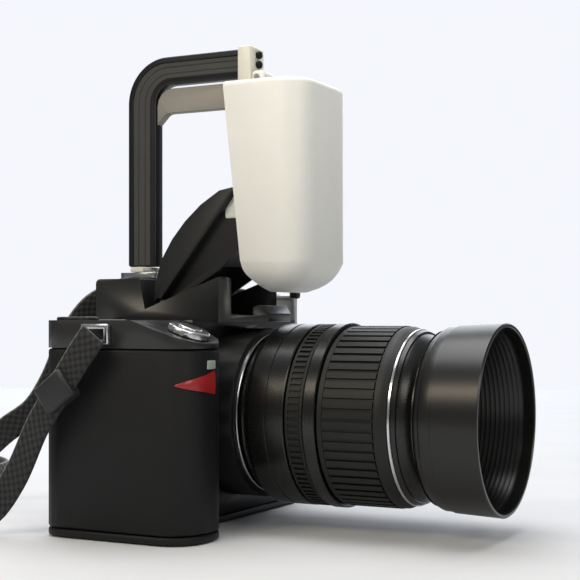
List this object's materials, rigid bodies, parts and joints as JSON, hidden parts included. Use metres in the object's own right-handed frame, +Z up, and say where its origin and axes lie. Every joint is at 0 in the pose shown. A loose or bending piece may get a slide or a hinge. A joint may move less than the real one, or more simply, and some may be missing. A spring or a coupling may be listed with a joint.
{
  "type": "reflex camera with flash diffuser bracket",
  "caption": "Single-lens reflex camera with zoom lens, raised pop-up flash, hot-shoe bracket holding a box diffuser, and a neck strap.",
  "frame": {"origin": "on the underside of the base, below the lens axis and half way through the body's depth", "axes": "+Z up, -Y is the way the lens looks, -X is the hand grip's side"},
  "size_m": [0.2148, 0.3656, 0.2039],
  "materials": {
    "moulded_black": "fine satin texture",
    "grip_rubber": "matt",
    "bright_steel": "satin",
    "dark_metal": "semi-matt black",
    "cream_plastic": "satin",
    "diffuser_plastic": "translucent satin",
    "grey_plastic": "satin",
    "optical_glass": "polished",
    "screen_glass": "polished",
    "circuit_green": "satin",
    "battery_case": "satin",
    "webbing": "woven",
    "silver_mirror": "polished"
  },
  "bodies": {
    "camera": {"bottom_plate": "moulded_black", "tripod_socket": "bright_steel", "front_cover": "moulded_black", "rear_cover": "moulded_black", "grip_rubber": "grip_rubber", "rear_display": "screen_glass", "top_cover": "moulded_black", "top_display": "screen_glass", "mirror_box": "dark_metal", "focusing_screen": "optical_glass", "pentaprism": "optical_glass", "eyepiece_lens": "optical_glass", "eyecup": "grip_rubber", "shutter_unit": "dark_metal", "image_sensor": "screen_glass", "main_board": "circuit_green", "battery": "battery_case", "mount_ring": "bright_steel", "lens_barrel": "dark_metal", "rear_element": "optical_glass", "index_ring": "dark_metal", "flash_hinge_pin": "bright_steel", "hot_shoe": "bright_steel", "shoe_foot": "cream_plastic", "bracket_arm": "dark_metal", "lower_rail": "grey_plastic", "hinge_block": "cream_plastic", "block_screw_upper": "dark_metal", "block_screw_lower": "dark_metal", "hinge_pin": "bright_steel", "lug_near": "bright_steel", "lug_far": "bright_steel", "strap_end": "webbing", "strap_band": "webbing", "strap_keeper": "moulded_black"},
    "mirror": {"reflex_mirror": "silver_mirror"},
    "battery_door": {"battery_door": "moulded_black"},
    "card_door": {"card_door": "moulded_black"},
    "shutter_button": {"shutter_button": "bright_steel"},
    "power_switch": {"power_switch": "bright_steel"},
    "mode_dial": {"mode_dial": "dark_metal"},
    "command_dial": {"command_dial": "dark_metal"},
    "selector_pad": {"selector_pad": "moulded_black"},
    "menu_button": {"menu_button": "moulded_black"},
    "playback_button": {"playback_button": "moulded_black"},
    "lens_release": {"lens_release": "moulded_black"},
    "focus_ring": {"focus_ring": "grip_rubber"},
    "zoom_ring": {"zoom_ring": "grip_rubber"},
    "front_group": {"front_barrel": "dark_metal", "front_element": "optical_glass"},
    "lens_hood": {"lens_hood": "moulded_black"},
    "flash_head": {"flash_lid": "moulded_black", "flash_window": "diffuser_plastic", "flash_reflector": "silver_mirror", "flash_tube": "optical_glass"},
    "diffuser": {"diffuser_shell": "diffuser_plastic"}
  },
  "joints": [
    {"name": "mirror_flip", "type": "hinge", "parent": "camera", "child": "mirror", "pos_m": [0, 0.003, 0.0605], "axis": [1, 0, 0], "range_deg": [-45, 0], "stiffness_Nm_per_rad": 0.001},
    {"name": "battery_door_hinge", "type": "hinge", "parent": "camera", "child": "battery_door", "pos_m": [-0.059, 0.0028, 0.0015], "axis": [1, 0, 0], "range_deg": [0, 90]},
    {"name": "card_door_hinge", "type": "hinge", "parent": "camera", "child": "card_door", "pos_m": [-0.0449, 0.0238, 0.031], "axis": [0, 0, 1], "range_deg": [-100, 0]},
    {"name": "shutter_press", "type": "slide", "parent": "camera", "child": "shutter_button", "axis": [0, -0.3271, 0.945], "range_m": [-0.0009, 0], "stiffness_N_per_m": 400},
    {"name": "power_switch_turn", "type": "hinge", "parent": "camera", "child": "power_switch", "pos_m": [-0.06, -0.0355, 0.08029], "axis": [0, -0.3271, 0.945], "range_deg": [0, 30]},
    {"name": "mode_dial_turn", "type": "hinge", "parent": "camera", "child": "mode_dial", "pos_m": [0.041, 0.003, 0.086], "axis": [0, 0, 1], "continuous": true},
    {"name": "command_dial_turn", "type": "hinge", "parent": "camera", "child": "command_dial", "pos_m": [-0.061, 0.0165, 0.0848], "axis": [0, 0, 1], "continuous": true},
    {"name": "selector_pad_rock", "type": "hinge", "parent": "camera", "child": "selector_pad", "pos_m": [-0.031, 0.025, 0.044], "axis": [1, 0, 0], "range_deg": [-3, 3], "stiffness_Nm_per_rad": 0.05},
    {"name": "menu_press", "type": "slide", "parent": "camera", "child": "menu_button", "axis": [0, 1, 0], "range_m": [-0.0008, 0], "stiffness_N_per_m": 300},
    {"name": "playback_press", "type": "slide", "parent": "camera", "child": "playback_button", "axis": [0, 1, 0], "range_m": [-0.0008, 0], "stiffness_N_per_m": 300},
    {"name": "lens_release_press", "type": "slide", "parent": "camera", "child": "lens_release", "axis": [0, 1, 0], "range_m": [0, 0.0012], "stiffness_N_per_m": 400},
    {"name": "focus_turn", "type": "hinge", "parent": "camera", "child": "focus_ring", "pos_m": [0, -0.07, 0.0465], "axis": [0, 1, 0], "range_deg": [0, 90]},
    {"name": "zoom_turn", "type": "hinge", "parent": "camera", "child": "zoom_ring", "pos_m": [0, -0.094, 0.0465], "axis": [0, 1, 0], "range_deg": [0, 60]},
    {"name": "zoom_extend", "type": "slide", "parent": "camera", "child": "front_group", "axis": [0, -1, 0], "range_m": [0, 0.018]},
    {"name": "hood_twist", "type": "hinge", "parent": "front_group", "child": "lens_hood", "pos_m": [0, -0.13, 0.0465], "axis": [0, 1, 0], "range_deg": [0, 60]},
    {"name": "flash_fold", "type": "hinge", "parent": "camera", "child": "flash_head", "pos_m": [0, 0.002, 0.094], "axis": [1, 0, 0], "range_deg": [0, 31]},
    {"name": "diffuser_swing", "type": "hinge", "parent": "camera", "child": "diffuser", "pos_m": [0, -0.037, 0.1899], "axis": [1, 0, 0], "range_deg": [-90, 0]}
  ],
  "couplings": [
    {"joint": "zoom_extend", "follows": "zoom_turn", "m_per_rad": 0.01718},
    {"joint": "flash_fold", "follows": "diffuser_swing", "ratio": -0.344}
  ]
}
